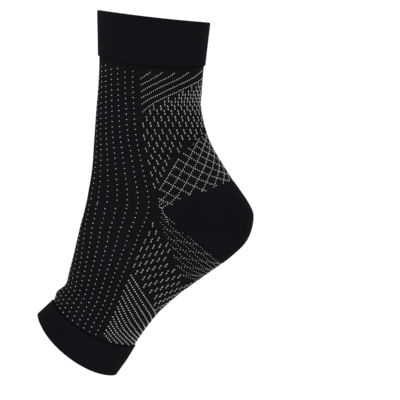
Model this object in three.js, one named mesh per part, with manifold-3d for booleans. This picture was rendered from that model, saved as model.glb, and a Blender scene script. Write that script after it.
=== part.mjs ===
// A knitted open-toe compression sleeve for foot and ankle, as it sits on a foot. Millimetres, +Z up.
// The origin is the ankle centre, inside the hollow. The leg stands up along +Z, the heel looks
// towards +X, and the foot points down towards -X. Both sides of the XZ plane are alike.
import * as THREE from 'three';
import Module from 'manifold-3d';
import { mergeVertices } from 'three/addons/utils/BufferGeometryUtils.js';

// Driving sizes of the worn form
const LEG_HEIGHT = 152;       // ankle centre up to the front of the cuff's rim
const LEG_DEPTH = 90;         // cuff, front to back
const LEG_WIDTH = 70;         // cuff, side to side
const HEEL_DEPTH = 130;       // instep to the back of the heel
const HEEL_DROP = 62;         // ankle centre down to the sole behind the arch
const HEEL_WIDTH = 67;        // ankle bones, side to side
const FOOT_LENGTH = 132;      // ankle centre to the toe rim, along the foot
const FOOT_DEPTH = 80;        // forefoot, top to sole
const FOOT_WIDTH = 70;        // forefoot, side to side
const FOOT_ANGLE = 60.2;      // degrees that the foot points below level

// Driving sizes of the knit
const KNIT_WALL = 1.3;        // single knit
const WELT_STEP = 1.2;        // how far the doubled cuff and toe band stand proud of the knit
const HEEL_STEP = 0.3;        // the heel's denser knit stands this far proud
const SEAM_GAP = 0.3;         // between neighbouring pieces

// Fineness of the faceted walls
const AROUND = 40;
const ROWS_PER_SECTION = 3;
const ARC_STEPS = 96;
const RIM_STEPS = 4;

// Each zone's own axes: along runs away from the ankle centre, across runs from front (or instep) to back (or sole).
const footTurn = THREE.MathUtils.degToRad(FOOT_ANGLE);
const LEG = {
  along: new THREE.Vector2(0, 1), across: new THREE.Vector2(1, 0),
  length: LEG_HEIGHT, depth: LEG_DEPTH, width: LEG_WIDTH,
};
const HEEL = {
  along: new THREE.Vector2(0, -1), across: new THREE.Vector2(1, 0),
  length: HEEL_DROP, depth: HEEL_DEPTH, width: HEEL_WIDTH,
};
const FOOT = {
  along: new THREE.Vector2(-Math.cos(footTurn), -Math.sin(footTurn)),
  across: new THREE.Vector2(Math.sin(footTurn), -Math.cos(footTurn)),
  length: FOOT_LENGTH, depth: FOOT_DEPTH, width: FOOT_WIDTH,
};

// Sections from the cuff's rim to the toe rim. front and back are [across, along] as shares of the zone's depth and
// length, width is a share of the zone's width, square is the exponent of the rounded outline (2 is an ellipse), and
// bow is how far the sides run ahead of the front and back, towards the toes, as a share of the zone's depth.
const SECTIONS = [
  { zone: LEG, front: [-0.547, 1.0], back: [0.436, 0.934], width: 1.0, square: 2.0, bow: 0.02 },
  { zone: LEG, front: [-0.54, 0.758], back: [0.391, 0.705], width: 0.96, square: 2.0, bow: 0.065 },
  { zone: LEG, front: [-0.548, 0.611], back: [0.373, 0.579], width: 0.92, square: 2.0, bow: 0.03 },
  { zone: LEG, front: [-0.567, 0.474], back: [0.369, 0.474], width: 0.9, square: 2.0, bow: 0.0 },
  { zone: LEG, front: [-0.587, 0.31], back: [0.444, 0.31], width: 0.93, square: 2.05, bow: 0.0 },
  { zone: LEG, front: [-0.604, 0.168], back: [0.613, 0.137], width: 0.96, square: 2.15, bow: 0.01 },
  { zone: HEEL, front: [-0.44, -0.129], back: [0.548, 0.052], width: 1.0, square: 2.25, bow: 0.02 },
  { zone: HEEL, front: [-0.462, 0.103], back: [0.574, 0.245], width: 1.0, square: 2.3, bow: 0.02 },
  { zone: HEEL, front: [-0.488, 0.31], back: [0.535, 0.516], width: 0.98, square: 2.3, bow: 0.01 },
  { zone: HEEL, front: [-0.511, 0.516], back: [0.425, 0.748], width: 0.96, square: 2.25, bow: 0.0 },
  { zone: HEEL, front: [-0.534, 0.723], back: [0.271, 0.981], width: 0.94, square: 2.2, bow: 0.0 },
  { zone: FOOT, front: [-0.431, 0.652], back: [0.633, 0.436], width: 0.9, square: 2.15, bow: 0.02 },
  { zone: FOOT, front: [-0.401, 0.726], back: [0.548, 0.592], width: 0.92, square: 2.1, bow: 0.06 },
  { zone: FOOT, front: [-0.438, 0.79], back: [0.511, 0.73], width: 0.95, square: 2.1, bow: 0.1 },
  { zone: FOOT, front: [-0.425, 0.845], back: [0.497, 0.833], width: 0.97, square: 2.1, bow: 0.12 },
  { zone: FOOT, front: [-0.462, 0.926], back: [0.492, 0.934], width: 1.0, square: 2.1, bow: 0.13 },
  { zone: FOOT, front: [-0.484, 0.968], back: [0.472, 1.052], width: 1.0, square: 2.1, bow: 0.14 },
];
const CUFF_RIM = 0;
const CUFF_SEAM = 1;
const TOE_SEAM = 14;
const TOE_RIM = 16;

// Soft creases across the bend of the ankle. at and spread are section numbers, middle and reach are shares of the
// way round from front to back, and depth is a share of LEG_DEPTH.
const CREASES = [
  { at: 6.45, spread: 0.32, middle: 0.26, reach: 0.17, depth: 0.016 },
  { at: 5.6, spread: 0.25, middle: 0.2, reach: 0.12, depth: 0.007 },
  { at: 7.4, spread: 0.28, middle: 0.22, reach: 0.13, depth: 0.008 },
];

// The heel window's two borders from its tip at the ankle to past the back outline, as [across, along] shares of the
// heel zone.
const HEEL_TIP = [0.037, 0.129];
const HEEL_TOP_BORDER = [[0.177, -0.03], [0.31, -0.11], [0.455, -0.245], [0.57, -0.42]];
const HEEL_LOWER_BORDER = [[0.112, 0.335], [0.2, 0.49], [0.326, 0.697], [0.46, 0.96]];
const BEHIND_HEEL = 0.8;
const TIP_MITRE = 1.5;

const flatPlace = (zone, [across, along]) => new THREE.Vector2()
  .addScaledVector(zone.across, across * zone.depth)
  .addScaledVector(zone.along, along * zone.length);

// Section rows in millimetres
const ROWS = SECTIONS.map((section) => {
  const front = flatPlace(section.zone, section.front);
  const back = flatPlace(section.zone, section.back);
  return {
    frontX: front.x, frontZ: front.y, backX: back.x, backZ: back.y,
    half: section.width * section.zone.width / 2, square: section.square,
    bow: section.bow * section.zone.depth,
  };
});
const COLUMNS = Object.keys(ROWS[0]);

function rowBeyond(edge, inner) {
  return Object.fromEntries(COLUMNS.map((name) => [name, 2 * edge[name] - inner[name]]));
}

const PADDED = [rowBeyond(ROWS[0], ROWS[1]), ...ROWS, rowBeyond(ROWS.at(-1), ROWS.at(-2))];

// The section at a place between two rows, on a smooth curve through all the rows
function sectionAt(place) {
  const index = Math.min(Math.max(Math.floor(place), 0), ROWS.length - 2);
  const t = place - index;
  const section = {};
  for (const name of COLUMNS) {
    const [before, start, end, after] = PADDED.slice(index, index + 4).map((row) => row[name]);
    const slope = (end - before) / 2;
    const nextSlope = (after - start) / 2;
    const bend = 3 * (end - start) - 2 * slope - nextSlope;
    const twist = 2 * (start - end) + slope + nextSlope;
    section[name] = start + t * (slope + t * (bend + t * twist));
  }
  return section;
}

// The outline of a section at an angle from its front, as depth from its middle and side
function outlinePoint(section, angle) {
  const halfDepth = Math.hypot(section.backX - section.frontX, section.backZ - section.frontZ) / 2;
  const power = 2 / section.square;
  const c = Math.cos(angle);
  const s = Math.sin(angle);
  return {
    depth: -halfDepth * Math.sign(c) * Math.abs(c) ** power,
    side: -section.half * Math.sign(s) * Math.abs(s) ** power,
  };
}

// The outline point that lies a given share of the half round's length from the front
function outlineAtShare(section, share) {
  const lengths = [0];
  let last = outlinePoint(section, 0);
  for (let step = 1; step <= ARC_STEPS; step += 1) {
    const next = outlinePoint(section, Math.PI * step / ARC_STEPS);
    lengths.push(lengths.at(-1) + Math.hypot(next.depth - last.depth, next.side - last.side));
    last = next;
  }
  const target = share * lengths.at(-1);
  let step = 1;
  while (step < ARC_STEPS && lengths[step] < target) step += 1;
  const part = (target - lengths[step - 1]) / (lengths[step] - lengths[step - 1]);
  return outlinePoint(section, Math.PI * (step - 1 + part) / ARC_STEPS);
}

// A point of the knit's outer face. turn goes from 0 at the front by the near side to 0.5 at the back and on to 1.
function knitPoint(place, turn) {
  const section = sectionAt(place);
  const wrapped = turn - Math.floor(turn);
  const nearSide = wrapped <= 0.5;
  const share = nearSide ? 2 * wrapped : 2 - 2 * wrapped;
  const outline = outlineAtShare(section, share);
  const front = new THREE.Vector2(section.frontX, section.frontZ);
  const back = new THREE.Vector2(section.backX, section.backZ);
  const across = back.clone().sub(front).normalize();
  const onward = new THREE.Vector2(across.y, -across.x);
  const bow = section.bow * Math.abs(outline.side / section.half) ** 1.5;
  const flat = front.add(back).multiplyScalar(0.5)
    .addScaledVector(across, outline.depth)
    .addScaledVector(onward, bow);
  return new THREE.Vector3(flat.x, nearSide ? outline.side : -outline.side, flat.y);
}

function creaseDepth(place, turn) {
  const wrapped = turn - Math.floor(turn);
  const share = Math.min(wrapped, 1 - wrapped) * 2;
  let depth = 0;
  for (const crease of CREASES) {
    const alongFall = Math.exp(-(((place - crease.at) / crease.spread) ** 2));
    const roundFall = Math.exp(-(((share - crease.middle) / crease.reach) ** 2));
    depth += crease.depth * LEG_DEPTH * alongFall * roundFall;
  }
  return depth;
}

// A point of a wall: slide is a distance along the knit towards the toes, lift a distance out from its outer face.
function wallPoint(place, slide, lift, turn) {
  const small = 0.01;
  const alongStep = knitPoint(place + small, turn).sub(knitPoint(place - small, turn));
  const moved = place + slide * 2 * small / alongStep.length();
  const point = knitPoint(moved, turn);
  const down = knitPoint(moved + small, turn).sub(knitPoint(moved - small, turn));
  const round = knitPoint(moved, turn + small).sub(knitPoint(moved, turn - small));
  const normal = down.cross(round).normalize();
  return point.addScaledVector(normal, lift - creaseDepth(moved, turn));
}

// A ring of knit whose wall follows a closed profile of { place, slide, lift }
function ringGeometry(profile) {
  const positions = [];
  for (let i = 0; i < AROUND; i += 1) {
    for (const { place, slide, lift } of profile) {
      positions.push(...wallPoint(place, slide, lift, i / AROUND).toArray());
    }
  }
  const index = [];
  const size = profile.length;
  for (let i = 0; i < AROUND; i += 1) {
    for (let j = 0; j < size; j += 1) {
      const a = i * size + j;
      const b = i * size + (j + 1) % size;
      const c = ((i + 1) % AROUND) * size + j;
      const d = ((i + 1) % AROUND) * size + (j + 1) % size;
      index.push(a, b, d, a, d, c);
    }
  }
  const geometry = new THREE.BufferGeometry();
  geometry.setAttribute('position', new THREE.Float32BufferAttribute(positions, 3));
  geometry.setIndex(index);
  return geometry;
}

function rows(from, to, lift, fromSlide = 0, toSlide = 0) {
  const count = Math.max(1, Math.round(Math.abs(to - from) * ROWS_PER_SECTION));
  return Array.from({ length: count + 1 }, (_, i) => ({
    place: from + (to - from) * i / count,
    slide: i === 0 ? fromSlide : (i === count ? toSlide : 0),
    lift,
  }));
}

// The folded edge of a doubled welt, from one face to the other: heading is +1 towards the toes, -1 towards the leg.
function foldedEdge(place, fromLift, toLift, heading) {
  const middle = (fromLift + toLift) / 2;
  const radius = Math.abs(fromLift - toLift) / 2;
  const turnIn = Math.sign(fromLift - toLift);
  return Array.from({ length: RIM_STEPS - 1 }, (_, i) => {
    const angle = Math.PI * (i + 1) / RIM_STEPS;
    return {
      place,
      slide: heading * radius * (Math.sin(angle) - 1),
      lift: middle + turnIn * radius * Math.cos(angle),
    };
  });
}

// A single wall between two seams
function singleWall(from, to, outerLift) {
  const inner = rows(to, from, -KNIT_WALL, -SEAM_GAP / 2, SEAM_GAP / 2);
  return [...rows(from, to, outerLift, SEAM_GAP / 2, -SEAM_GAP / 2), ...inner];
}

// A doubled welt between its folded rim and its seam, with the seam's outer edge eased down to the knit
function weltWall(rim, seam) {
  const heading = Math.sign(rim - seam);
  const radius = (WELT_STEP + KNIT_WALL) / 2;
  const rimSlide = -heading * radius;
  const seamSlide = heading * SEAM_GAP / 2;
  const outer = rows(rim, seam, WELT_STEP, rimSlide, seamSlide + heading * WELT_STEP);
  const eased = [{ place: seam, slide: seamSlide, lift: WELT_STEP * 0.35 }];
  const inner = rows(seam, rim, -KNIT_WALL, seamSlide, rimSlide);
  const profile = [...outer, ...eased, ...inner, ...foldedEdge(rim, -KNIT_WALL, WELT_STEP, heading)];
  return heading > 0 ? profile.reverse() : profile;
}

const wasm = await Module();
wasm.setup();

function toManifold(geometry) {
  const bare = geometry.clone();
  bare.deleteAttribute('normal');
  bare.deleteAttribute('uv');
  const merged = mergeVertices(bare, 1e-4);
  return new wasm.Manifold(new wasm.Mesh({
    numProp: 3,
    vertProperties: new Float32Array(merged.attributes.position.array),
    triVerts: new Uint32Array(merged.index.array),
  }));
}

function toGeometry(solid) {
  const { vertProperties, triVerts, numProp } = solid.getMesh();
  const positions = new Float32Array(vertProperties.length / numProp * 3);
  for (let i = 0; i < positions.length / 3; i += 1) {
    for (let axis = 0; axis < 3; axis += 1) {
      positions[3 * i + axis] = vertProperties[numProp * i + axis];
    }
  }
  const geometry = new THREE.BufferGeometry();
  geometry.setAttribute('position', new THREE.BufferAttribute(positions, 3));
  geometry.setIndex(Array.from(triVerts));
  geometry.computeVertexNormals();
  return geometry;
}

// The heel window seen from the side, grown by a margin all round, as a block that runs through both sides
function heelBlock(margin) {
  const tip = flatPlace(HEEL, HEEL_TIP);
  const topBorder = new THREE.SplineCurve([tip, ...HEEL_TOP_BORDER.map((share) => flatPlace(HEEL, share))]);
  const lowerBorder = new THREE.SplineCurve([tip, ...HEEL_LOWER_BORDER.map((share) => flatPlace(HEEL, share))]);
  const borderSteps = 14;
  const shifted = (curve, sideSign) => curve.getSpacedPoints(borderSteps).map((point, i) => {
    const tangent = curve.getTangentAt(i / borderSteps);
    return new THREE.Vector2(-tangent.y, tangent.x).multiplyScalar(sideSign * margin).add(point);
  }).slice(1);
  const top = shifted(topBorder, 1);
  const lower = shifted(lowerBorder, -1);
  const behind = BEHIND_HEEL * HEEL_DEPTH;
  const outline = [
    ...lower,
    new THREE.Vector2(behind, lower.at(-1).y),
    new THREE.Vector2(behind, top.at(-1).y),
    ...top.reverse(),
    new THREE.Vector2(tip.x - margin * TIP_MITRE, tip.y),
  ];
  const reach = Math.max(LEG_WIDTH, HEEL_WIDTH, FOOT_WIDTH);
  const block = new THREE.ExtrudeGeometry(new THREE.Shape(outline), { depth: 2 * reach, bevelEnabled: false });
  block.translate(0, 0, -reach);
  block.rotateX(Math.PI / 2);
  return toManifold(block);
}

const windowHalfGap = SEAM_GAP / 2;
const tube = toManifold(ringGeometry(singleWall(CUFF_SEAM, TOE_SEAM, 0)));
const heelTube = toManifold(ringGeometry(singleWall(CUFF_SEAM, TOE_SEAM, HEEL_STEP)));
const sleeveSolid = tube.subtract(heelBlock(windowHalfGap));
const heelSolid = heelTube.intersect(heelBlock(-windowHalfGap));

function knitMesh(name, geometry, color, roughness) {
  const mesh = new THREE.Mesh(geometry, new THREE.MeshStandardMaterial({ color, roughness, metalness: 0 }));
  mesh.name = name;
  return mesh;
}

const PLAIN_BLACK = 0x141418;
const PATTERNED_BLACK = 0x18181b;

const sock = new THREE.Group();
sock.add(
  knitMesh('ankle_cuff', ringGeometry(weltWall(CUFF_RIM, CUFF_SEAM)), PLAIN_BLACK, 0.9),
  knitMesh('knit_sleeve', toGeometry(sleeveSolid), PATTERNED_BLACK, 0.85),
  knitMesh('heel_pocket', toGeometry(heelSolid), PLAIN_BLACK, 0.9),
  knitMesh('toe_band', ringGeometry(weltWall(TOE_RIM, TOE_SEAM)), PLAIN_BLACK, 0.9),
);

export default sock;
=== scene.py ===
"""Knitted open-toe compression sleeve for foot and ankle: fine knit shells, doubled welts, a heel pocket
and the pale stitch pattern, in metres, in the part's own frame."""
import math

import bpy
import numpy as np
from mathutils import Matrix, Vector


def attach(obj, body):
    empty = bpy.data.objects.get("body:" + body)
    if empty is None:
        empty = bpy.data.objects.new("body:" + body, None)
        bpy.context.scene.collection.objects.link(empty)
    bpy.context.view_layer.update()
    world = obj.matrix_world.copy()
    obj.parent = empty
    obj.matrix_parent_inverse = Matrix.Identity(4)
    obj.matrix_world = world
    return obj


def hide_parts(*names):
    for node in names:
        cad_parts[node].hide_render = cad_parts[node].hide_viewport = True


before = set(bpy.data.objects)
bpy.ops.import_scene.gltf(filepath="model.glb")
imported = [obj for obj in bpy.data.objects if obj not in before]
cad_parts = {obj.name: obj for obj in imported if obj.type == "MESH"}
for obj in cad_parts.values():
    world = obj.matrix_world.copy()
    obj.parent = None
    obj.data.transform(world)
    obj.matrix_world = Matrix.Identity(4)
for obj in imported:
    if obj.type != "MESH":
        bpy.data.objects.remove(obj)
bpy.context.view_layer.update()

bl_info = {
    "name": "Knitted Foot Sleeve",
    "version": (1, 0, 0),
    "blender": (4, 5, 0),
    "location": "3D View > Sidebar > Foot Sleeve",
    "description": "Builds a worn open-toe knitted sleeve with its stitch pattern, and its stage",
    "category": "Object",
}

MM = 0.001

# The worn form's driving sizes, as in the solids
LEG_HEIGHT, LEG_DEPTH, LEG_WIDTH = 152 * MM, 90 * MM, 70 * MM
HEEL_DROP, HEEL_DEPTH, HEEL_WIDTH = 62 * MM, 130 * MM, 67 * MM
FOOT_LENGTH, FOOT_DEPTH, FOOT_WIDTH = 132 * MM, 80 * MM, 70 * MM
FOOT_TURN = math.radians(60.2)

# Each zone's axes in the XZ plane: along runs away from the ankle centre, across from front to back
LEG = {"along": (0, 1), "across": (1, 0), "length": LEG_HEIGHT, "depth": LEG_DEPTH, "width": LEG_WIDTH}
HEEL = {"along": (0, -1), "across": (1, 0), "length": HEEL_DROP, "depth": HEEL_DEPTH, "width": HEEL_WIDTH}
FOOT = {
    "along": (-math.cos(FOOT_TURN), -math.sin(FOOT_TURN)),
    "across": (math.sin(FOOT_TURN), -math.cos(FOOT_TURN)),
    "length": FOOT_LENGTH, "depth": FOOT_DEPTH, "width": FOOT_WIDTH,
}

# Sections from the cuff's rim to the toe rim, as shares of the zone's sizes: zone, front (across, along),
# back (across, along), width, square (the outline's exponent), bow (how far the sides lie towards the toes)
SECTIONS = [
    (LEG, (-0.547, 1.0), (0.436, 0.934), 1.0, 2.0, 0.02),
    (LEG, (-0.54, 0.758), (0.391, 0.705), 0.96, 2.0, 0.065),
    (LEG, (-0.548, 0.611), (0.373, 0.579), 0.92, 2.0, 0.03),
    (LEG, (-0.567, 0.474), (0.369, 0.474), 0.9, 2.0, 0.0),
    (LEG, (-0.587, 0.31), (0.444, 0.31), 0.93, 2.05, 0.0),
    (LEG, (-0.604, 0.168), (0.613, 0.137), 0.96, 2.15, 0.01),
    (HEEL, (-0.44, -0.129), (0.548, 0.052), 1.0, 2.25, 0.02),
    (HEEL, (-0.462, 0.103), (0.574, 0.245), 1.0, 2.3, 0.02),
    (HEEL, (-0.488, 0.31), (0.535, 0.516), 0.98, 2.3, 0.01),
    (HEEL, (-0.511, 0.516), (0.425, 0.748), 0.96, 2.25, 0.0),
    (HEEL, (-0.534, 0.723), (0.271, 0.981), 0.94, 2.2, 0.0),
    (FOOT, (-0.431, 0.652), (0.633, 0.436), 0.9, 2.15, 0.02),
    (FOOT, (-0.401, 0.726), (0.548, 0.592), 0.92, 2.1, 0.06),
    (FOOT, (-0.438, 0.79), (0.511, 0.73), 0.95, 2.1, 0.1),
    (FOOT, (-0.425, 0.845), (0.497, 0.833), 0.97, 2.1, 0.12),
    (FOOT, (-0.462, 0.926), (0.492, 0.934), 1.0, 2.1, 0.13),
    (FOOT, (-0.484, 0.968), (0.472, 1.052), 1.0, 2.1, 0.14),
]
CUFF_RIM, CUFF_SEAM, TOE_SEAM, TOE_RIM = 0, 1, 14, 16
ANKLE_LINE = 6.45

# Soft creases across the bend of the ankle: place and spread in sections, middle and reach as shares of the
# half round, depth
CREASES = [
    (6.45, 0.32, 0.26, 0.17, 0.016 * LEG_DEPTH),
    (5.6, 0.25, 0.2, 0.12, 0.007 * LEG_DEPTH),
    (7.4, 0.28, 0.22, 0.13, 0.008 * LEG_DEPTH),
]

# The heel window's borders from its tip to past the back, as (across, along) shares of the heel zone
HEEL_TIP = (0.037, 0.129)
HEEL_TOP_BORDER = [HEEL_TIP, (0.177, -0.03), (0.31, -0.11), (0.455, -0.245), (0.57, -0.42)]
HEEL_LOWER_BORDER = [HEEL_TIP, (0.112, 0.335), (0.2, 0.49), (0.326, 0.697), (0.46, 0.96)]

# Fineness of the tables
TABLE_STEPS = 24
TABLE_SHARES = 240
ARC_STEPS = 480

# Fineness of the knit shells: faces round, and rows to a section
SLEEVE_AROUND, WELT_AROUND = 220, 240
SLEEVE_OUTER_ROWS, SLEEVE_INNER_ROWS = 14, 5
WELT_OUTER_ROWS, WELT_INNER_ROWS = 30, 8
HEEL_COLUMNS, HEEL_ROWS = 90, 72

# How far the heel pocket's outermost rows stand out, in heel steps, and its inner face's depth in walls
HEEL_EDGE_LIFTS = (-2.4, -0.2, 0.6, 0.9)
HEEL_INNER_DEPTH = 0.7

# Depths of the sleeve's tucked ends, in walls, and the lifts and slide of a welt's eased edge, in welt steps
TUCK_DEPTHS = (0.3, 0.7)
EASE_HIGH, EASE_LOW, EASE_SLIDE = 0.8, 0.35, 0.35

# Relief and tone of the knit: slant of the loops' legs, shares of the relief, shares of the colour (painted
# shade that darkens the gaps between loops with the relief, and random patches of tone), and the lightest and
# darkest yarn as multiples of its colour
V_SLANT = 1.1
LOOP_RELIEF, LEG_RELIEF, FUZZ_RELIEF = 0.55, 0.75, 0.35
RELIEF_PAINTED_SHADE, PATCH_TONE = 0.7, 0.6
LIGHTEST_KNIT = 2.4
DARKEST_YARN, LIGHTEST_YARN = 0.62, 1.25

# A stitch's two loops, as shares of the stitch's width, and how they lean together into a V. The stitch's
# lift is a share of its rise, its jitter runs along the wale, and its sizes spread by a share
LOOP_WIDTH, LOOP_SHIFT, LOOP_LEAN = 0.58, 0.23, math.radians(20)
STITCH_LIFT = 0.18
STITCH_JITTER = 0.08 * MM
STITCH_SPREAD = 0.06

FLOOR_SIDES = 96

# The soft lights, all aimed at the ankle: name, place, side, share of the key light's power
LIGHTS = (
    ("key_light", (-2.0, -2.4, 1.8), 1.2, 1.0),
    ("fill_light", (2.6, -1.6, 0.9), 1.6, 0.3),
    ("back_light", (0.6, 2.4, 2.0), 1.6, 0.5),
)


def flat_place(zone, share):
    """A point of the XZ plane from its shares of a zone's depth and length."""
    across = share[0] * zone["depth"] * np.array(zone["across"])
    return across + share[1] * zone["length"] * np.array(zone["along"])


def smooth_rows(rows, place):
    """Values of a table of rows at places between them, on a smooth curve through all the rows."""
    padded = np.vstack([2 * rows[0] - rows[1], rows, 2 * rows[-1] - rows[-2]])
    index = np.clip(np.floor(place).astype(int), 0, len(rows) - 2)
    t = (place - index)[:, None]
    before, start, end, after = (padded[index + k] for k in range(4))
    slope = (end - before) / 2
    next_slope = (after - start) / 2
    bend = 3 * (end - start) - 2 * slope - next_slope
    twist = 2 * (start - end) + slope + next_slope
    return start + t * (slope + t * (bend + t * twist))


def half_round_table():
    """The knit's outer face on its near side: a point for each place and share of the way to the back."""
    rows = []
    for zone, front, back, width, square, bow in SECTIONS:
        ends = [*flat_place(zone, front), *flat_place(zone, back)]
        rows.append([*ends, width * zone["width"] / 2, square, bow * zone["depth"]])
    places = np.linspace(0, len(rows) - 1, (len(rows) - 1) * TABLE_STEPS + 1)
    sections = smooth_rows(np.array(rows), places)
    angle = np.linspace(0, math.pi, ARC_STEPS + 1)
    shares = np.linspace(0, 1, TABLE_SHARES + 1)
    table = np.zeros((len(places), len(shares), 3))
    for r, (fx, fz, bx, bz, half, square, bow) in enumerate(sections):
        front, back = np.array([fx, fz]), np.array([bx, bz])
        span = np.linalg.norm(back - front)
        across = (back - front) / span
        onward = np.array([across[1], -across[0]])
        power = 2 / square
        depth = -span / 2 * np.sign(np.cos(angle)) * np.abs(np.cos(angle)) ** power
        side = half * np.abs(np.sin(angle)) ** power
        length = np.concatenate([[0], np.cumsum(np.hypot(np.diff(depth), np.diff(side)))])
        depth = np.interp(shares * length[-1], length, depth)
        side = np.interp(shares * length[-1], length, side)
        ahead = bow * (side / half) ** 1.5
        flat = (front + back) / 2 + depth[:, None] * across + ahead[:, None] * onward
        table[r] = np.stack([flat[:, 0], -side, flat[:, 1]], axis=1)
    return table


KNIT_TABLE = half_round_table()


def knit_point(place, share):
    """Points of the knit's outer face. share is 0 at the front, 1 at the back, below 0 on the far side."""
    wrapped = (np.asarray(share, float) + 1) % 2 - 1
    row = np.clip(np.asarray(place, float), 0, len(SECTIONS) - 1) * TABLE_STEPS
    col = np.abs(wrapped) * TABLE_SHARES
    r = np.minimum(row.astype(int), KNIT_TABLE.shape[0] - 2)
    c = np.minimum(col.astype(int), KNIT_TABLE.shape[1] - 2)
    fr = (row - r)[..., None]
    fc = (col - c)[..., None]
    top = KNIT_TABLE[r, c] * (1 - fc) + KNIT_TABLE[r, c + 1] * fc
    low = KNIT_TABLE[r + 1, c] * (1 - fc) + KNIT_TABLE[r + 1, c + 1] * fc
    point = top * (1 - fr) + low * fr
    point[..., 1] *= np.where(wrapped < 0, -1, 1)
    return point


def knit_axes(place, share):
    """Unit directions of the knit: down its wales towards the toes, and out from its face."""
    step, turn = 1.5 / TABLE_STEPS, 2.0 / TABLE_SHARES
    down = knit_point(place + step, share) - knit_point(place - step, share)
    around = knit_point(place, share + turn) - knit_point(place, share - turn)
    out = np.cross(down, around)
    out /= np.linalg.norm(out, axis=-1, keepdims=True)
    return down / np.linalg.norm(down, axis=-1, keepdims=True), out


def crease_depth(place, share):
    """How far the creases at the ankle sink the knit."""
    from_front = np.abs((share + 1) % 2 - 1)
    depth = np.zeros(np.broadcast(place, share).shape)
    for at, spread, middle, reach, deepest in CREASES:
        along_fall = np.exp(-((place - at) / spread) ** 2)
        depth += deepest * along_fall * np.exp(-((from_front - middle) / reach) ** 2)
    return depth


def wall_point(place, share, slide=0.0, lift=0.0):
    """Points of a wall: slide is a distance along the knit, lift a distance out from its outer face."""
    place, share = np.broadcast_arrays(np.asarray(place, float), np.asarray(share, float))
    step = 1.0 / TABLE_STEPS
    below = knit_point(np.minimum(place + step, len(SECTIONS) - 1), share)
    above = knit_point(np.maximum(place - step, 0), share)
    gap = np.minimum(place + step, len(SECTIONS) - 1) - np.maximum(place - step, 0)
    speed = np.linalg.norm(below - above, axis=-1) / gap
    moved = place + slide / speed
    _, out = knit_axes(moved, share)
    return knit_point(moved, share) + out * (lift - crease_depth(moved, share))[..., None]


def wale_length(place, share):
    """Length of knit along a wale from the cuff's seam down to a place."""
    steps = np.linalg.norm(np.diff(KNIT_TABLE, axis=0), axis=2)
    total = np.vstack([np.zeros((1, steps.shape[1])), np.cumsum(steps, axis=0)])
    total -= total[CUFF_SEAM * TABLE_STEPS]
    row = np.clip(place, 0, len(SECTIONS) - 1) * TABLE_STEPS
    col = np.abs((share + 1) % 2 - 1) * TABLE_SHARES
    r = np.minimum(row.astype(int), total.shape[0] - 2)
    c = np.minimum(np.round(col).astype(int), total.shape[1] - 1)
    return total[r, c] + (row - r) * (total[r + 1, c] - total[r, c])


# Meshes


def new_object(name, points, faces, uv=None):
    """A smooth mesh object at the origin, with its wale and course numbers as a UV map if given."""
    mesh = bpy.data.meshes.new(name)
    mesh.from_pydata([tuple(p) for p in points], [], [tuple(f) for f in faces])
    mesh.shade_smooth()
    if uv is not None:
        layer = mesh.uv_layers.new(name="knit")
        layer.data.foreach_set("uv", np.asarray(uv, np.float32).ravel())
    mesh.validate()
    obj = bpy.data.objects.new(name, mesh)
    bpy.context.scene.collection.objects.link(obj)
    return obj


def knit_uv(place, share, knit):
    """Wale and course numbers of each face corner: courses count from the cuff above the ankle line, from the
    toe band below it, as the two halves of the tube are knitted."""
    wale = share * knit.wales_round / 2
    middle = place.mean(axis=-1, keepdims=True)
    from_cuff = wale_length(place, share)
    from_toe = from_cuff - wale_length(np.full_like(place, TOE_SEAM), share)
    course = np.where(middle < ANKLE_LINE, from_cuff, from_toe) / knit.course_pitch
    return np.stack([wale, course], axis=-1)


def ring_object(name, profile, around, knit):
    """A ring of knit whose wall follows a closed profile of (place, slide, lift) rows."""
    profile = np.array(profile)
    shares = np.linspace(0, 2, around + 1)[:-1]
    place = np.broadcast_to(profile[:, 0], (around, len(profile)))
    share = np.broadcast_to(shares[:, None], place.shape)
    points = wall_point(place, share, profile[:, 1], profile[:, 2])
    i, j = np.meshgrid(np.arange(around), np.arange(len(profile)), indexing="ij")
    next_j = (j + 1) % len(profile)
    next_i = (i + 1) % around
    corners = np.stack([
        i * len(profile) + j, i * len(profile) + next_j,
        next_i * len(profile) + next_j, next_i * len(profile) + j,
    ], axis=-1).reshape(-1, 4)
    step = 2 / around
    corner_place = np.stack([place[i, j], place[i, next_j], place[i, next_j], place[i, j]], -1).reshape(-1, 4)
    corner_share = np.stack([i * step, i * step, (i + 1) * step, (i + 1) * step], -1).reshape(-1, 4)
    uv = knit_uv(corner_place, corner_share, knit)
    return new_object(name, points.reshape(-1, 3), corners, uv)


def wall_rows(start, end, lift, per_section, start_slide=0.0, end_slide=0.0):
    """Profile rows along one face of a wall between two places."""
    count = max(1, round(abs(end - start) * per_section))
    rows = [[start + (end - start) * i / count, 0.0, lift] for i in range(count + 1)]
    rows[0][1] = start_slide
    rows[-1][1] = end_slide
    return rows


def folded_edge(place, start_lift, end_lift, heading, steps=10):
    """The round folded edge of a doubled welt, from one face to the other."""
    middle = (start_lift + end_lift) / 2
    radius = abs(start_lift - end_lift) / 2
    way = math.copysign(1, start_lift - end_lift)
    rows = []
    for i in range(1, steps):
        angle = math.pi * i / steps
        slide = heading * radius * (math.sin(angle) - 1)
        rows.append([place, slide, middle + way * radius * math.cos(angle)])
    return rows


# Shader maths


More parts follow.
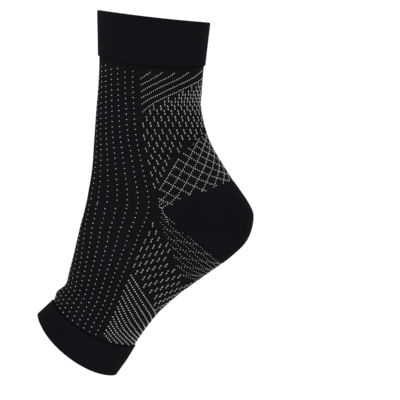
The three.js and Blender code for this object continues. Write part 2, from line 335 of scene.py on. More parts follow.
class Maths:
    """A number socket that can stand in a Python expression, each operation adding its Math node."""

    def __init__(self, shader, socket):
        self.shader = shader
        self.socket = socket

    def _math(self, operation, first, second=None):
        values = {0: first}
        if second is not None:
            values[1] = second
        return self.shader.node("ShaderNodeMath", {"operation": operation}, values)[0]

    def __add__(self, other):
        return self._math("ADD", self, other)

    __radd__ = __add__

    def __sub__(self, other):
        return self._math("SUBTRACT", self, other)

    def __rsub__(self, other):
        return self._math("SUBTRACT", other, self)

    def __mul__(self, other):
        return self._math("MULTIPLY", self, other)

    __rmul__ = __mul__

    def __abs__(self):
        return self._math("ABSOLUTE", self)

    def fract(self):
        return self._math("FRACT", self)

    def sine(self):
        return self._math("SINE", self)


class Shader:
    """A material's node tree, to which nodes are added by type, settings and socket values."""

    def __init__(self, name):
        self.material = bpy.data.materials.new(name)
        self.material.use_nodes = True
        self.tree = self.material.node_tree
        self.tree.nodes.clear()

    def node(self, kind, settings=None, values=None):
        made = self.tree.nodes.new(kind)
        for key, value in (settings or {}).items():
            setattr(made, key, value)
        for key, value in (values or {}).items():
            if isinstance(value, Maths):
                self.tree.links.new(value.socket, made.inputs[key])
            else:
                made.inputs[key].default_value = value
        return [Maths(self, socket) for socket in made.outputs]

    def noise(self, scale, detail=2.0):
        """A noise value on the object's own coordinates."""
        place = self.node("ShaderNodeTexCoord")[3]
        values = {"Vector": place, "Scale": scale, "Detail": detail}
        return self.node("ShaderNodeTexNoise", None, values)[0]

    def finish(self, surface):
        self.node("ShaderNodeOutputMaterial", None, {"Surface": surface})
        return self.material


def knit_material(name, look, colour, tone_and_shade_spread, relief):
    """Plain knit in one yarn: rows of V-shaped loops on the wale and course numbers of the UV map. Its colour
    is darkened with the relief into the gaps between loops as painted shade, and varied by random patches of
    tone.
    """
    shader = Shader(name)
    place = shader.node("ShaderNodeUVMap", {"uv_map": "knit"})[0]
    wale, course, _ = shader.node("ShaderNodeSeparateXYZ", None, {0: place})
    fuzz = shader.noise(900.0, 3.0)
    patches = shader.noise(28.0)
    across = abs(wale.fract() - 0.5)
    loop = ((course + across * V_SLANT).fract() * math.pi).sine()
    leg = (across * 2 * math.pi).sine()
    height = (loop * LOOP_RELIEF + (1 - LOOP_RELIEF)) * (leg * LEG_RELIEF + (1 - LEG_RELIEF))
    height = height + (fuzz - 0.5) * FUZZ_RELIEF
    # Painted shade: the colour follows the relief and is darker in the gaps between loops; the patches add
    # random tone
    light = (height * RELIEF_PAINTED_SHADE + patches * PATCH_TONE) * tone_and_shade_spread
    shade = shader.node("ShaderNodeMix", {"data_type": "RGBA"}, {
        0: light,
        6: (*colour[:3], 1.0),
        7: (*[c * LIGHTEST_KNIT for c in colour[:3]], 1.0),
    })[2]
    bump = shader.node("ShaderNodeBump", None, {"Strength": relief, "Distance": 0.0004, "Height": height})[0]
    surface = shader.node("ShaderNodeBsdfPrincipled", None, {
        "Base Color": shade,
        "Roughness": look.knit_roughness,
        "Specular IOR Level": look.knit_shine,
        "Normal": bump,
    })[0]
    return shader.finish(surface)


def plain_knit(name, look):
    """The denser plain knit of the cuff, heel and toe band."""
    return knit_material(name, look, look.plain_black, tone_and_shade_spread=0.8, relief=0.6)


def yarn_material(name, look):
    """Pale elastic yarn of the stitch pattern, a little uneven from loop to loop."""
    shader = Shader(name)
    uneven = shader.noise(420.0)
    strands = shader.noise(3200.0)
    pale = look.pale_yarn
    shade = shader.node("ShaderNodeMix", {"data_type": "RGBA"}, {
        0: uneven,
        6: (*[c * DARKEST_YARN for c in pale[:3]], 1.0),
        7: (*[min(1.0, c * LIGHTEST_YARN) for c in pale[:3]], 1.0),
    })[2]
    bump = shader.node("ShaderNodeBump", None, {"Strength": 0.3, "Distance": 0.0001, "Height": strands})[0]
    surface = shader.node("ShaderNodeBsdfPrincipled", None, {
        "Base Color": shade, "Roughness": 0.85, "Specular IOR Level": 0.2, "Normal": bump,
    })[0]
    return shader.finish(surface)


def paint(obj, material):
    obj.data.materials.clear()
    obj.data.materials.append(material)


# The stitch pattern, charted as shares of the half round (0 front, 1 back) and places between sections

# Where the last column of dots lies, how far apart the columns are, and how far the pattern's middle line
# turns towards the near side: place, last, pitch, turn
DOT_CHART = np.array([
    (1.0, 0.379, 0.0573, 0.0),
    (2.0, 0.383, 0.0556, 0.0),
    (3.0, 0.4, 0.0552, 0.0),
    (4.3, 0.407, 0.0527, 0.0),
    (6.0, 0.4025, 0.0537, 0.0),
    (6.8, 0.398, 0.0535, 0.0),
    (8.1, 0.384, 0.0489, 0.008),
    (9.3, 0.4095, 0.0488, 0.033),
    (10.2, 0.438, 0.049, 0.06),
    (11.0, 0.4696, 0.05, 0.082),
    (11.8, 0.5, 0.0505, 0.108),
    (12.4, 0.5226, 0.0496, 0.138),
    (13.1, 0.546, 0.049, 0.165),
    (14.0, 0.553, 0.049, 0.175),
])
# Border between dashes and net above the heel: share, place
TOP_NET_BORDER = np.array([
    (0.44, 5.95), (0.46, 5.72), (0.482, 5.47), (0.521, 5.2), (0.559, 4.98), (0.593, 4.76), (0.635, 4.58),
    (0.674, 4.41), (0.723, 4.24), (0.778, 4.08), (0.936, 3.75), (1.0, 3.65),
])
# Border between net and dashes below the heel: share, place
LOW_NET_BORDER = np.array([
    (0.458, 7.3), (0.495, 7.88), (0.538, 8.4), (0.593, 8.85), (0.632, 9.35), (0.71, 9.8), (0.76, 10.0),
    (0.815, 10.25), (0.9, 10.3), (1.1, 10.2),
])
# Where the arch stripes start: place, share
ARCH_BORDER = np.array([
    (10.4, 0.497), (11.3, 0.53), (11.8, 0.545), (12.4, 0.573), (13.0, 0.597), (13.7, 0.606),
])
PATTERN_START = 1.16
FIRST_COLUMN, LAST_COLUMN = -7, 8

# Stripes start a step apart and run on by slope * offset + bend * offset ** 2, with the offset in shares
TOP_STRIPES, TOP_STRIPE_STEP, TOP_STRIPE_SHARE, TOP_STRIPE_SHIFT = 7, 0.328, 0.427, 0.0045
TOP_STRIPE_SLOPE, TOP_STRIPE_BEND = -5.3, 3.8
ARCH_START, ARCH_STRIPES, ARCH_STRIPE_STEP = 10.47, 13, 0.257
ARCH_STRIPE_SLOPE, ARCH_STRIPE_BEND = 5.3, -3.4

# The nets' families of lines, which lie a step apart at one share, and slope, fan out and bend from there
TOP_NET_CLIMBING = {"at": 0.666, "start": 4.72, "step": 0.335, "slope": -5.5, "fan": -0.33, "bend": 5.0}
TOP_NET_FALLING = {"at": 0.666, "start": 5.07, "step": 0.36, "slope": 3.2, "fan": -0.5, "bend": -6.6}
LOW_NET_LEVEL = {"at": 0.7, "start": 8.87, "step": 0.42, "slope": 0.6, "fan": -0.45, "bend": 0.0}
LOW_NET_FALLING = {"at": 0.7, "start": 8.7, "step": 0.2, "slope": 5.1, "fan": -0.35, "bend": -8.0}
LOW_NET_SPREAD = 1.35

# Two short lines of stitches at the heel's tip: share, place
TIP_LINES = ([(0.447, 6.36), (0.476, 6.08)], [(0.465, 6.4), (0.47, 6.75), (0.487, 7.05), (0.505, 7.35)])

# The columns of dashes, every second one on the leg shifted: how many, and their steps in places and shares
TOP_DASH_COLUMNS, TOP_DASH_STARTS, TOP_DASH_STEP = 23, (3.9, 3.72), 0.395
TOP_DASH_SHARE, TOP_DASH_PITCH, TOP_DASH_LEAN = 0.456, 0.0247, 0.0065
FOOT_DASH_COLUMNS, FOOT_DASH_START, FOOT_DASH_DROP, FOOT_DASH_STEP = 22, 9.864, 0.11, 0.43
FOOT_DASH_CROWDING = 0.012
FOOT_DASH_SHARE, FOOT_DASH_PITCH = 0.4615, 0.0285
FOOT_DASH_BEND_PLACE, FOOT_DASH_BEND_EASE, FOOT_DASH_BEND = 8.9, 0.3, 0.0393
DASH_LEAN = 0.0013

# Clear knit between the zones of the pattern, in places
TOP_DASH_FROM_STRIPES, TOP_DASH_FROM_NET = 0.17, 0.13
FOOT_DASH_FROM_NET, FOOT_DASH_FROM_STRIPES, FOOT_DASH_FROM = 0.12, 0.16, 7.2
NET_FROM_HEEL, DOTS_FROM_TOE, STRIPES_FROM_TOE = 0.06, 0.08, 0.06

# A line of the pattern is left out where it runs over this many samples or fewer
TOO_FEW_SAMPLES = 8


def charted(chart, at, column=1):
    """A value of a chart between its rows."""
    return np.interp(at, chart[:, 0], chart[:, column])


def pattern_turn(place):
    return charted(DOT_CHART, place, 3)


def top_stripe_share(number):
    return TOP_STRIPE_SHARE + TOP_STRIPE_SHIFT * number


def top_stripe(number, share):
    offset = share - top_stripe_share(number)
    start = PATTERN_START + TOP_STRIPE_STEP * number
    return start + TOP_STRIPE_SLOPE * offset + TOP_STRIPE_BEND * offset ** 2


def arch_stripe_start(number):
    place = ARCH_START + ARCH_STRIPE_STEP * number
    return place, charted(ARCH_BORDER, place)


def arch_stripe(number, share):
    start, start_share = arch_stripe_start(number)
    offset = share - start_share
    return start + ARCH_STRIPE_SLOPE * offset + ARCH_STRIPE_BEND * offset ** 2


def net_lines(family, numbers, share):
    """Places of one family of a net's lines."""
    offset = share - family["at"]
    lines = []
    for number in numbers:
        start = family["start"] + family["step"] * number
        slope = family["slope"] + family["fan"] * number
        lines.append(start + slope * offset + family["bend"] * offset ** 2)
    return lines


def heel_borders():
    """Places of the heel pocket's top and lower borders for shares from its tip to the back."""
    shares = np.linspace(0.4, 1, 241)
    top_places, low_places = np.linspace(4, 7.4, 341), np.linspace(6, 11, 501)
    borders = []
    for border, places in ((HEEL_TOP_BORDER, top_places), (HEEL_LOWER_BORDER, low_places)):
        knots = np.array([flat_place(HEEL, share) for share in border])
        line = smooth_rows(knots, np.linspace(0, len(border) - 1, 200))
        grid_place, grid_share = np.meshgrid(places, shares, indexing="ij")
        point = knit_point(grid_place, grid_share)
        above = point[..., 2] > np.interp(point[..., 0], line[:, 0], line[:, 1])
        if border is HEEL_TOP_BORDER:
            above |= point[..., 0] < knots[0, 0]
        crossing = places[np.argmin(above, axis=0)]
        borders.append(np.where(above.all(axis=0), places[-1], crossing))
    top, low = borders
    inside = low > top + 0.02
    tip = int(np.argmax(inside))
    return shares[tip:], top[tip:], low[tip:]


def heel_top(share):
    return np.interp(share, *HEEL_EDGES[:2])


def heel_low(share):
    return np.interp(share, HEEL_EDGES[0], HEEL_EDGES[2])


HEEL_EDGES = heel_borders()


def even_steps(share, place, pitch, first=0.5):
    """Evenly spaced points along a curve drawn on the knit."""
    point = knit_point(place, share)
    length = np.concatenate([[0], np.cumsum(np.linalg.norm(np.diff(point, axis=0), axis=1))])
    at = np.arange(first * pitch, length[-1], pitch)
    return np.interp(at, length, share), np.interp(at, length, place)


def joined(chart):
    """One row of shares and one of places from a chart's list of them."""
    return np.concatenate([np.stack(rows, axis=1) for rows in chart]).T


def both_sides(chart):
    """The charted stitches of the near side with their mirror across the pattern's middle line."""
    share, place = joined(chart)
    mirrored = 2 * pattern_turn(place) - share
    return np.concatenate([share, mirrored]), np.concatenate([place, place])


def chart_dots(knit):
    """Columns of single stitches down the front of the leg and the top of the foot."""
    chart = []
    for column in range(FIRST_COLUMN, LAST_COLUMN + 1):
        place = np.linspace(PATTERN_START + 0.03 + 0.07 * (column % 2), TOE_SEAM - DOTS_FROM_TOE, 600)
        share = charted(DOT_CHART, place) - (LAST_COLUMN - column) * charted(DOT_CHART, place, 2)
        leg = place <= ANKLE_LINE + 0.1
        upper = even_steps(share[leg], place[leg], knit.dot_row_leg, 0.05)
        lower = even_steps(share[~leg][::-1], place[~leg][::-1], knit.dot_row_foot, 0.3)
        chart += [upper, lower]
    return joined(chart)


def chart_top_stripes(knit):
    """Lines of stitches that climb from the dots to the cuff."""
    chart = []
    for number in range(TOP_STRIPES):
        share = np.linspace(top_stripe_share(number), 1.0, 400)
        place = top_stripe(number, share)
        keep = place > PATTERN_START - 0.03
        chart.append(even_steps(share[keep], place[keep], knit.stripe_pitch))
    return both_sides(chart)


def chart_top_dashes(knit):
    """Staggered short dashes on the side and back of the leg, between the stripes and the net."""
    chart = []
    for column in range(TOP_DASH_COLUMNS):
        place = TOP_DASH_STARTS[column % 2] + TOP_DASH_STEP * np.arange(-7, 6)
        share = TOP_DASH_SHARE + TOP_DASH_PITCH * column - TOP_DASH_LEAN * (place - TOP_DASH_STARTS[0])
        below_stripes = place > top_stripe(TOP_STRIPES - 1, share) + TOP_DASH_FROM_STRIPES
        above_net = place < charted(TOP_NET_BORDER, share) - TOP_DASH_FROM_NET
        keep = below_stripes & above_net & (place > PATTERN_START) & (share < 0.995)
        chart.append((share[keep], place[keep]))
    return both_sides(chart)


def chart_top_net(knit):
    """The diamond net above the heel, two families of crossing lines, and two short lines at its tip."""
    chart = []
    share = np.linspace(0.45, 0.999, 500)
    numbers = range(-7, 9)
    families = [net_lines(family, numbers, share) for family in (TOP_NET_CLIMBING, TOP_NET_FALLING)]
    for pair in zip(*families):
        for place in pair:
            keep = (place > charted(TOP_NET_BORDER, share) - 0.04) & (place < heel_top(share) - NET_FROM_HEEL)
            if keep.sum() > TOO_FEW_SAMPLES:
                chart.append(even_steps(share[keep], place[keep], knit.net_pitch))
    for knots in TIP_LINES:
        xs, ys = np.array(knots).T
        t = np.linspace(0, len(knots) - 1, 60)
        tip_share, tip_place = (np.interp(t, range(len(knots)), values) for values in (xs, ys))
        chart.append(even_steps(tip_share, tip_place, knit.net_pitch))
    return both_sides(chart)


def chart_low_net(knit):
    """The net below the heel, its stitches farther apart than in the net above."""
    chart = []
    share = np.linspace(0.46, 1.06, 500)
    border = charted(LOW_NET_BORDER, share)
    lines = net_lines(LOW_NET_LEVEL, range(-2, 5), share)
    lines += net_lines(LOW_NET_FALLING, range(-3, 8), share)
    for place in lines:
        inside = (place < border) & (place > heel_low(share) + NET_FROM_HEEL)
        inside &= share < 1 + pattern_turn(place)
        changes = np.flatnonzero(np.diff(inside.astype(int))) + 1
        for part in np.split(np.arange(len(share)), changes):
            if inside[part[0]] and len(part) > TOO_FEW_SAMPLES:
                chart.append(even_steps(share[part], place[part], LOW_NET_SPREAD * knit.net_pitch))
    return both_sides(chart)


def chart_foot_dashes(knit):
    """Slanting dashes on the side of the foot, between the net, the dots and the arch stripes."""
    chart = []
    step = np.arange(-6, 9)
    for column in range(-1, FOOT_DASH_COLUMNS - 1):
        crowded = FOOT_DASH_CROWDING * np.minimum(step, 0) ** 2
        place = FOOT_DASH_START - FOOT_DASH_DROP * column + FOOT_DASH_STEP * step - crowded
        past = place - FOOT_DASH_BEND_PLACE
        bend = FOOT_DASH_BEND * (np.sqrt(past ** 2 + FOOT_DASH_BEND_EASE ** 2) + past) / 2
        share = FOOT_DASH_SHARE + FOOT_DASH_PITCH * column + bend
        below_net = place > charted(LOW_NET_BORDER, share) + FOOT_DASH_FROM_NET
        above_stripes = place < arch_stripe(0, share) - FOOT_DASH_FROM_STRIPES
        keep = below_net & above_stripes & (share < 1 + pattern_turn(place)) & (place > FOOT_DASH_FROM)
        chart.append((share[keep], place[keep]))
    return both_sides(chart)


def chart_arch_stripes(knit):
    """Close lines of stitches that run from the dots round under the arch."""
    chart = []
    for number in range(ARCH_STRIPES):
        share = np.linspace(arch_stripe_start(number)[1], 1.2, 500)
        place = arch_stripe(number, share)
        keep = (place < TOE_SEAM - STRIPES_FROM_TOE) & (share < 1 + pattern_turn(place))
        if keep.sum() > TOO_FEW_SAMPLES:
            chart.append(even_steps(share[keep], place[keep], knit.arch_pitch, 0.0))
    return both_sides(chart)


def stitch_tree(name, material):
    """A Geometry Nodes tree that sets a small V of two loops on each charted point."""
    tree = bpy.data.node_groups.new(name, "GeometryNodeTree")
    tree.interface.new_socket("Chart", in_out="INPUT", socket_type="NodeSocketGeometry")
    for label, default in (("Stitch width", 0.0013), ("Stitch length", 0.0012), ("Stitch rise", 0.0005)):
        socket = tree.interface.new_socket(label, in_out="INPUT", socket_type="NodeSocketFloat")
        socket.subtype = "DISTANCE"
        socket.default_value = default
    tree.interface.new_socket("Stitches", in_out="OUTPUT", socket_type="NodeSocketGeometry")
    nodes, links = tree.nodes, tree.links
    given = nodes.new("NodeGroupInput").outputs
    loop = nodes.new("GeometryNodeMeshIcoSphere")
    loop.inputs["Radius"].default_value = 0.5
    loop.inputs["Subdivisions"].default_value = 1
    joined = nodes.new("GeometryNodeJoinGeometry")
    for side in (-1, 1):
        slim = nodes.new("ShaderNodeMath")
        slim.operation = "MULTIPLY"
        slim.inputs[1].default_value = LOOP_WIDTH
        links.new(given["Stitch width"], slim.inputs[0])
        shift = nodes.new("ShaderNodeMath")
        shift.operation = "MULTIPLY"
        shift.inputs[1].default_value = LOOP_SHIFT * side
        links.new(given["Stitch width"], shift.inputs[0])
        scale = nodes.new("ShaderNodeCombineXYZ")
        links.new(slim.outputs[0], scale.inputs[0])
        links.new(given["Stitch length"], scale.inputs[1])
        links.new(given["Stitch rise"], scale.inputs[2])
        place = nodes.new("ShaderNodeCombineXYZ")
        links.new(shift.outputs[0], place.inputs[0])
        shaped = nodes.new("GeometryNodeTransform")
        links.new(loop.outputs["Mesh"], shaped.inputs["Geometry"])
        links.new(scale.outputs[0], shaped.inputs["Scale"])
        leaned = nodes.new("GeometryNodeTransform")
        leaned.inputs["Rotation"].default_value = (0, 0, -LOOP_LEAN * side)
        links.new(place.outputs[0], leaned.inputs["Translation"])
        links.new(shaped.outputs[0], leaned.inputs["Geometry"])
        links.new(leaned.outputs[0], joined.inputs[0])
    facing = nodes.new("FunctionNodeAxesToRotation")
    facing.primary_axis = "Z"
    facing.secondary_axis = "Y"
    for socket, attribute in ((0, "outward"), (1, "heading")):
        read = nodes.new("GeometryNodeInputNamedAttribute")
        read.data_type = "FLOAT_VECTOR"
        read.inputs["Name"].default_value = attribute
        links.new(read.outputs["Attribute"], facing.inputs[socket])
    placed = nodes.new("GeometryNodeInstanceOnPoints")
    links.new(given["Chart"], placed.inputs["Points"])
    links.new(joined.outputs[0], placed.inputs["Instance"])
    links.new(facing.outputs[0], placed.inputs["Rotation"])
    size = nodes.new("GeometryNodeInputNamedAttribute")
    size.data_type = "FLOAT_VECTOR"
    size.inputs["Name"].default_value = "stretch"
    links.new(size.outputs["Attribute"], placed.inputs["Scale"])
    real = nodes.new("GeometryNodeRealizeInstances")
    links.new(placed.outputs[0], real.inputs[0])
    smooth = nodes.new("GeometryNodeSetShadeSmooth")
    links.new(real.outputs[0], smooth.inputs["Geometry"])
    dressed = nodes.new("GeometryNodeSetMaterial")
    dressed.inputs["Material"].default_value = material
    links.new(smooth.outputs[0], dressed.inputs["Geometry"])
    out = nodes.new("NodeGroupOutput")
    links.new(dressed.outputs[0], out.inputs[0])
    return tree


def stitch_object(name, chart, size, material, seed):
    """The stitches of one chart as a plain mesh: size is a stitch's width, length and rise."""
    share, place = chart
    down, out = knit_axes(place, share)
    points = wall_point(place, share, 0.0, size[2] * STITCH_LIFT)
    rng = np.random.default_rng(seed)
    points += down * rng.normal(0, STITCH_JITTER, (len(points), 1))
    stretch = 1 + rng.normal(0, STITCH_SPREAD, (len(points), 3))
    mesh = bpy.data.meshes.new(name + "_chart")
    mesh.from_pydata([tuple(p) for p in points], [], [])
    for label, values in (("outward", out), ("heading", down), ("stretch", stretch)):
        layer = mesh.attributes.new(label, "FLOAT_VECTOR", "POINT")
        layer.data.foreach_set("vector", np.asarray(values, np.float32).ravel())
    obj = bpy.data.objects.new(name, mesh)
    bpy.context.scene.collection.objects.link(obj)
    tree = stitch_tree(name + "_nodes", material)
    modifier = obj.modifiers.new("stitches", "NODES")
    modifier.node_group = tree
    inputs = [item for item in tree.interface.items_tree if item.in_out == "INPUT" and item.name != "Chart"]
    for item, value in zip(inputs, size):
        modifier[item.identifier] = value
    evaluated = obj.evaluated_get(bpy.context.evaluated_depsgraph_get())
    baked = bpy.data.meshes.new_from_object(evaluated)
    obj.modifiers.remove(modifier)
    obj.data = baked
    bpy.data.meshes.remove(mesh)
    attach(obj, "root")
    return obj


def two_stitches(chart, length):
    """Each charted dash as two stitches, one above the other and a little to its side."""
    share, place = chart
    speed = np.linalg.norm(knit_point(place + 0.05, share) - knit_point(place - 0.05, share), axis=-1) / 0.1
    half_step = length / 4 / speed
    return (
        np.concatenate([share - DASH_LEAN, share + DASH_LEAN]),
        np.concatenate([place - half_step, place + half_step]),
    )


# Sizes and colours that a user would change


class SleeveKnit(bpy.types.PropertyGroup):
    """Sizes of the knit and of its stitch pattern."""

    wall: bpy.props.FloatProperty(
        name="Knit wall", description="Thickness of the single knit", default=1.3 * MM, unit="LENGTH")
    welt_step: bpy.props.FloatProperty(
        name="Welt step", description="How far the doubled welts stand proud", default=1.2 * MM,
        unit="LENGTH")
    heel_step: bpy.props.FloatProperty(
        name="Heel step", description="How far the heel's denser knit stands proud", default=0.3 * MM,
        unit="LENGTH")
    tuck: bpy.props.FloatProperty(
        name="Tuck", description="Length of the sleeve's ends inside the cuff and the toe band",
        default=1.5 * MM, unit="LENGTH")
    seam_gap: bpy.props.FloatProperty(
        name="Seam gap", description="Gap between neighbouring pieces", default=0.3 * MM, unit="LENGTH")
    wales_round: bpy.props.IntProperty(
        name="Wales round", description="Columns of loops round the sleeve", default=168)
    course_pitch: bpy.props.FloatProperty(
        name="Course pitch", description="Height of one row of loops", default=1.0 * MM, unit="LENGTH")
    dot_row_leg: bpy.props.FloatProperty(
        name="Dot rows, leg", description="Distance between dots down the leg", default=4.2 * MM,
        unit="LENGTH")
    dot_row_foot: bpy.props.FloatProperty(
        name="Dot rows, foot", description="Distance between dots along the foot", default=3.9 * MM,
        unit="LENGTH")
    stripe_pitch: bpy.props.FloatProperty(
        name="Stripe stitches", description="Distance between the stitches of a stripe", default=1.75 * MM,
        unit="LENGTH")
    net_pitch: bpy.props.FloatProperty(
        name="Net stitches", description="Distance between the stitches of the net", default=1.9 * MM,
        unit="LENGTH")
    arch_pitch: bpy.props.FloatProperty(
        name="Arch stitches", description="Distance between the stitches of the arch stripes",
        default=2.1 * MM, unit="LENGTH")
    dash_length: bpy.props.FloatProperty(
        name="Dash length", description="Length of one dash of two stitches", default=4.6 * MM, unit="LENGTH")


class SleeveLook(bpy.types.PropertyGroup):
    """Colours and finish of the yarns."""

    plain_black: bpy.props.FloatVectorProperty(
        name="Plain black", description="Colour of the cuff, heel and toe band",
        default=(0.003, 0.003, 0.0039), subtype="COLOR", size=3)
    patterned_black: bpy.props.FloatVectorProperty(
        name="Patterned black", description="Colour of the ground of the patterned knit",
        default=(0.0032, 0.0032, 0.004), subtype="COLOR", size=3)
    pale_yarn: bpy.props.FloatVectorProperty(
        name="Pale yarn", description="Colour of the pattern's stitches", default=(0.57, 0.57, 0.58),
        subtype="COLOR", size=3)
    knit_roughness: bpy.props.FloatProperty(
        name="Knit roughness", description="Roughness of the black knit", default=0.9, subtype="FACTOR")
    knit_shine: bpy.props.FloatProperty(
        name="Knit shine", description="Specular level of the black knit", default=0.015, subtype="FACTOR")


class StageLook(bpy.types.PropertyGroup):
    """Camera, lights, floor and white surround."""

    lens: bpy.props.FloatProperty(
        name="Lens", description="Focal length in millimetres", default=500.0)
    frame_width: bpy.props.FloatProperty(
        name="Frame width", description="Width that the camera sees at the sleeve", default=0.32,
        unit="LENGTH")
    frame_middle: bpy.props.FloatProperty(
        name="Frame middle", description="Where the camera's axis passes the sleeve, along X", default=0.032,
        unit="LENGTH")
    floor_height: bpy.props.FloatProperty(
        name="Floor height", description="Height of the floor below the ankle", default=-0.25, unit="LENGTH")
    floor_radius: bpy.props.FloatProperty(
        name="Floor radius", description="Radius of the pale floor", default=30.0, unit="LENGTH")
    key_power: bpy.props.FloatProperty(
        name="Key light", description="Power of the main soft light", default=22.0, unit="POWER")
    surround: bpy.props.FloatProperty(
        name="Surround", description="Strength of the even white light all round", default=1.08)


# Pieces


class SOCK_OT_knit_sleeve(bpy.types.Operator):
    """Build the patterned tube of the leg and foot."""

    bl_idname = "sock.knit_sleeve"
    bl_label = "Knit sleeve"

    def execute(self, context):
        knit = context.scene.sleeve_knit
        gap = knit.seam_gap / 2
        outer = wall_rows(CUFF_SEAM, TOE_SEAM, 0.0, SLEEVE_OUTER_ROWS, gap, -gap)
        inner = wall_rows(TOE_SEAM, CUFF_SEAM, -knit.wall, SLEEVE_INNER_ROWS, -gap, gap)
        into_band = [[TOE_SEAM, knit.tuck, -depth * knit.wall] for depth in TUCK_DEPTHS]
        into_cuff = [[CUFF_SEAM, -knit.tuck, -depth * knit.wall] for depth in reversed(TUCK_DEPTHS)]
        profile = outer + into_band + inner + into_cuff
        sleeve = ring_object("knit_sleeve_shell", profile, SLEEVE_AROUND, knit)
        look = context.scene.sleeve_look
        black = look.patterned_black
        paint(sleeve, knit_material("patterned_knit", look, black, tone_and_shade_spread=0.9, relief=0.8))
        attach(sleeve, "root")
        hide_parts("knit_sleeve")
        return {"FINISHED"}


def welt_object(name, rim, seam, knit):
    """A doubled welt, with a folded rim and its seam's outer edge eased down to the knit."""
    heading = 1 if rim > seam else -1
    rim_slide = -heading * (knit.welt_step + knit.wall) / 2
    seam_slide = heading * knit.seam_gap / 2
    outer_end = seam_slide + heading * knit.welt_step
    ease = [
        [seam, seam_slide + heading * knit.welt_step * EASE_SLIDE, knit.welt_step * EASE_HIGH],
        [seam, seam_slide, knit.welt_step * EASE_LOW],
    ]
    outer = wall_rows(rim, seam, knit.welt_step, WELT_OUTER_ROWS, rim_slide, outer_end)
    inner = wall_rows(seam, rim, -knit.wall, WELT_INNER_ROWS, seam_slide, rim_slide)
    profile = outer + ease + inner + folded_edge(rim, -knit.wall, knit.welt_step, heading)
    if heading > 0:
        profile.reverse()
    return ring_object(name, profile, WELT_AROUND, knit)


class SOCK_OT_cuff(bpy.types.Operator):
    """Build the doubled welt round the top of the leg."""

    bl_idname = "sock.cuff"
    bl_label = "Ankle cuff"

    def execute(self, context):
        look = context.scene.sleeve_look
        cuff = welt_object("ankle_cuff_welt", CUFF_RIM, CUFF_SEAM, context.scene.sleeve_knit)
        paint(cuff, plain_knit("plain_knit_cuff", look))
        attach(cuff, "root")
        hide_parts("ankle_cuff")
        return {"FINISHED"}


class SOCK_OT_toe_band(bpy.types.Operator):
    """Build the doubled welt round the open toe end."""

    bl_idname = "sock.toe_band"
    bl_label = "Toe band"

    def execute(self, context):
        look = context.scene.sleeve_look
        band = welt_object("toe_band_welt", TOE_RIM, TOE_SEAM, context.scene.sleeve_knit)
        paint(band, plain_knit("plain_knit_toe", look))
        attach(band, "root")
        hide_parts("toe_band")
        return {"FINISHED"}


class SOCK_OT_heel_pocket(bpy.types.Operator):
    """Build the plain pocket that cups the heel."""

    bl_idname = "sock.heel_pocket"
    bl_label = "Heel pocket"

    def execute(self, context):
        knit, look = context.scene.sleeve_knit, context.scene.sleeve_look
        shares, top, low = HEEL_EDGES
        half = np.linspace(shares[0], 1.0, HEEL_COLUMNS)
        share = np.concatenate([half, 2 - half[-2::-1]])
        folded = np.where(share > 1, 2 - share, share)
        start, end = np.interp(folded, shares, top), np.interp(folded, shares, low)
        rows = HEEL_ROWS
        along = (1 - np.cos(np.linspace(0, math.pi, rows))) / 2
        place = start[:, None] + (end - start)[:, None] * along
        grid_share = np.broadcast_to(share[:, None], place.shape)
        from_edge = np.minimum(np.arange(rows), rows - 1 - np.arange(rows))
        lifts = np.array([*HEEL_EDGE_LIFTS, 1.0])
        lift = knit.heel_step * lifts[np.minimum(from_edge, len(HEEL_EDGE_LIFTS))]
        outer = wall_point(place, grid_share, 0.0, lift)
        inner = wall_point(place, grid_share, 0.0, np.full(rows, -knit.wall * HEEL_INNER_DEPTH))
        columns = len(share)
        count = columns * rows
        i, j = np.meshgrid(np.arange(columns - 1), np.arange(rows - 1), indexing="ij")
        i, j = i.ravel(), j.ravel()
        quad = np.stack([i * rows + j, i * rows + j + 1, (i + 1) * rows + j + 1, (i + 1) * rows + j], axis=1)
        faces = [quad, quad[:, ::-1] + count]
        ring = [k * rows for k in range(columns)]
        ring += [(columns - 1) * rows + k for k in range(1, rows)]
        ring += [k * rows + rows - 1 for k in range(columns - 2, -1, -1)]
        ring += list(range(rows - 2, 0, -1))
        ring = np.array(ring)
        following = np.roll(ring, -1)
        faces.append(np.stack([ring, following, following + count, ring + count], axis=1))
        faces = np.concatenate(faces)
        point_place = np.tile(place.ravel(), 2)
        point_share = np.tile(grid_share.ravel(), 2)
        uv = knit_uv(point_place[faces], point_share[faces], knit)
        points = np.concatenate([outer.reshape(-1, 3), inner.reshape(-1, 3)])
        pocket = new_object("heel_pocket_shell", points, faces, uv)
        paint(pocket, plain_knit("plain_knit_heel", look))
        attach(pocket, "root")
        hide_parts("heel_pocket")
        return {"FINISHED"}


class SOCK_OT_stitches(bpy.types.Operator):
    """Knit the pale pattern: dots, stripes, dashes and nets."""

    bl_idname = "sock.stitches"
    bl_label = "Pale stitches"

    def execute(self, context):
        knit = context.scene.sleeve_knit
        yarn = yarn_material("pale_yarn", context.scene.sleeve_look)
        single = (0.76 * MM, 0.74 * MM, 0.45 * MM)
        line = (0.58 * MM, 1.05 * MM, 0.45 * MM)
        dash = (0.46 * MM, knit.dash_length / 2, 0.5 * MM)
        sparse = (0.42 * MM, 0.75 * MM, 0.4 * MM)
        bold = (0.8 * MM, 1.25 * MM, 0.5 * MM)
        top_dashes = two_stitches(chart_top_dashes(knit), knit.dash_length)
        foot_dashes = two_stitches(chart_foot_dashes(knit), knit.dash_length)
        pattern = (
            ("dot_stitches", chart_dots(knit), single),
            ("top_stripe_stitches", chart_top_stripes(knit), line),
            ("top_dash_stitches", top_dashes, dash),
            ("top_net_stitches", chart_top_net(knit), line),
            ("low_net_stitches", chart_low_net(knit), sparse),
            ("foot_dash_stitches", foot_dashes, dash),
            ("arch_stripe_stitches", chart_arch_stripes(knit), bold),
        )
        for seed, (name, chart, size) in enumerate(pattern, 1):
            stitch_object(name, chart, size, yarn, seed)
        return {"FINISHED"}


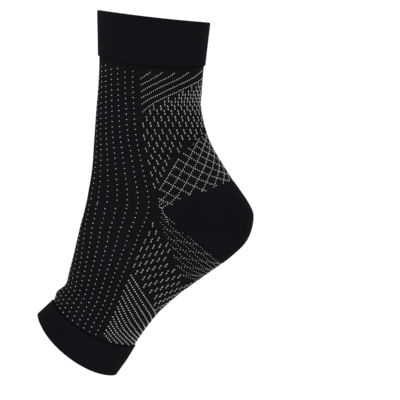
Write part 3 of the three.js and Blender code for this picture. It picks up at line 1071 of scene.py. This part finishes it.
def area_light(name, place, side, power):
    """A square soft light, aimed at the ankle."""
    light = bpy.data.lights.new(name, "AREA")
    light.shape = "RECTANGLE"
    light.size = side
    light.size_y = side
    light.energy = power
    obj = bpy.data.objects.new(name, light)
    obj.location = place
    obj.rotation_euler = (-Vector(place)).to_track_quat("-Z", "Y").to_euler()
    bpy.context.scene.collection.objects.link(obj)


class SOCK_OT_stage(bpy.types.Operator):
    """Set up the pale floor, the white surround, the soft lights and the camera."""

    bl_idname = "sock.stage"
    bl_label = "Stage"

    def execute(self, context):
        look = context.scene.sleeve_stage
        angles = [2 * math.pi * i / FLOOR_SIDES for i in range(FLOOR_SIDES)]
        radius, height = look.floor_radius, look.floor_height
        rim = [(radius * math.cos(angle), radius * math.sin(angle), height) for angle in angles]
        floor = new_object("floor", rim, [range(len(rim))])
        shader = Shader("floor_paper")
        bump = shader.node("ShaderNodeBump", None, {
            "Strength": 0.05, "Distance": 0.0005, "Height": shader.noise(60.0),
        })[0]
        surface = shader.node("ShaderNodeBsdfPrincipled", None, {
            "Base Color": (0.93, 0.93, 0.93, 1.0),
            "Roughness": 0.9,
            "Specular IOR Level": 0.1,
            "Normal": bump,
        })[0]
        paint(floor, shader.finish(surface))
        for name, place, side, share in LIGHTS:
            area_light(name, place, side, look.key_power * share)
        world = bpy.data.worlds.new("studio")
        world.use_nodes = True
        background = world.node_tree.nodes["Background"]
        background.inputs["Color"].default_value = (1.0, 1.0, 1.0, 1.0)
        background.inputs["Strength"].default_value = look.surround
        context.scene.world = world
        camera = bpy.data.cameras.new("camera")
        camera.lens = look.lens
        camera.clip_end = 100.0
        distance = look.frame_width * look.lens / camera.sensor_width
        holder = bpy.data.objects.new("camera", camera)
        holder.location = (look.frame_middle, -distance, 0.0)
        holder.rotation_euler = (math.pi / 2, 0.0, 0.0)
        context.scene.collection.objects.link(holder)
        context.scene.camera = holder
        context.scene.view_settings.view_transform = "Standard"
        return {"FINISHED"}


class SOCK_PT_panel(bpy.types.Panel):
    """Sizes, colours and build steps of the sleeve."""

    bl_label = "Foot Sleeve"
    bl_space_type = "VIEW_3D"
    bl_region_type = "UI"
    bl_category = "Foot Sleeve"

    def draw(self, context):
        scene = context.scene
        for group in (scene.sleeve_knit, scene.sleeve_look, scene.sleeve_stage):
            for name in group.__annotations__:
                self.layout.prop(group, name)
        for operator in STEPS:
            self.layout.operator(operator.bl_idname)


GROUPS = {"sleeve_knit": SleeveKnit, "sleeve_look": SleeveLook, "sleeve_stage": StageLook}
STEPS = (
    SOCK_OT_stage, SOCK_OT_knit_sleeve, SOCK_OT_cuff, SOCK_OT_toe_band, SOCK_OT_heel_pocket, SOCK_OT_stitches,
)


def register():
    for cls in (*GROUPS.values(), *STEPS, SOCK_PT_panel):
        bpy.utils.register_class(cls)
    for name, group in GROUPS.items():
        setattr(bpy.types.Scene, name, bpy.props.PointerProperty(type=group))


def unregister():
    for name in GROUPS:
        delattr(bpy.types.Scene, name)
    for cls in (SOCK_PT_panel, *reversed(STEPS), *GROUPS.values()):
        bpy.utils.unregister_class(cls)


def main():
    register()
    bpy.ops.sock.stage()
    bpy.ops.sock.knit_sleeve()
    bpy.ops.sock.cuff()
    bpy.ops.sock.toe_band()
    bpy.ops.sock.heel_pocket()
    bpy.ops.sock.stitches()


if __name__ == "__main__":
    main()
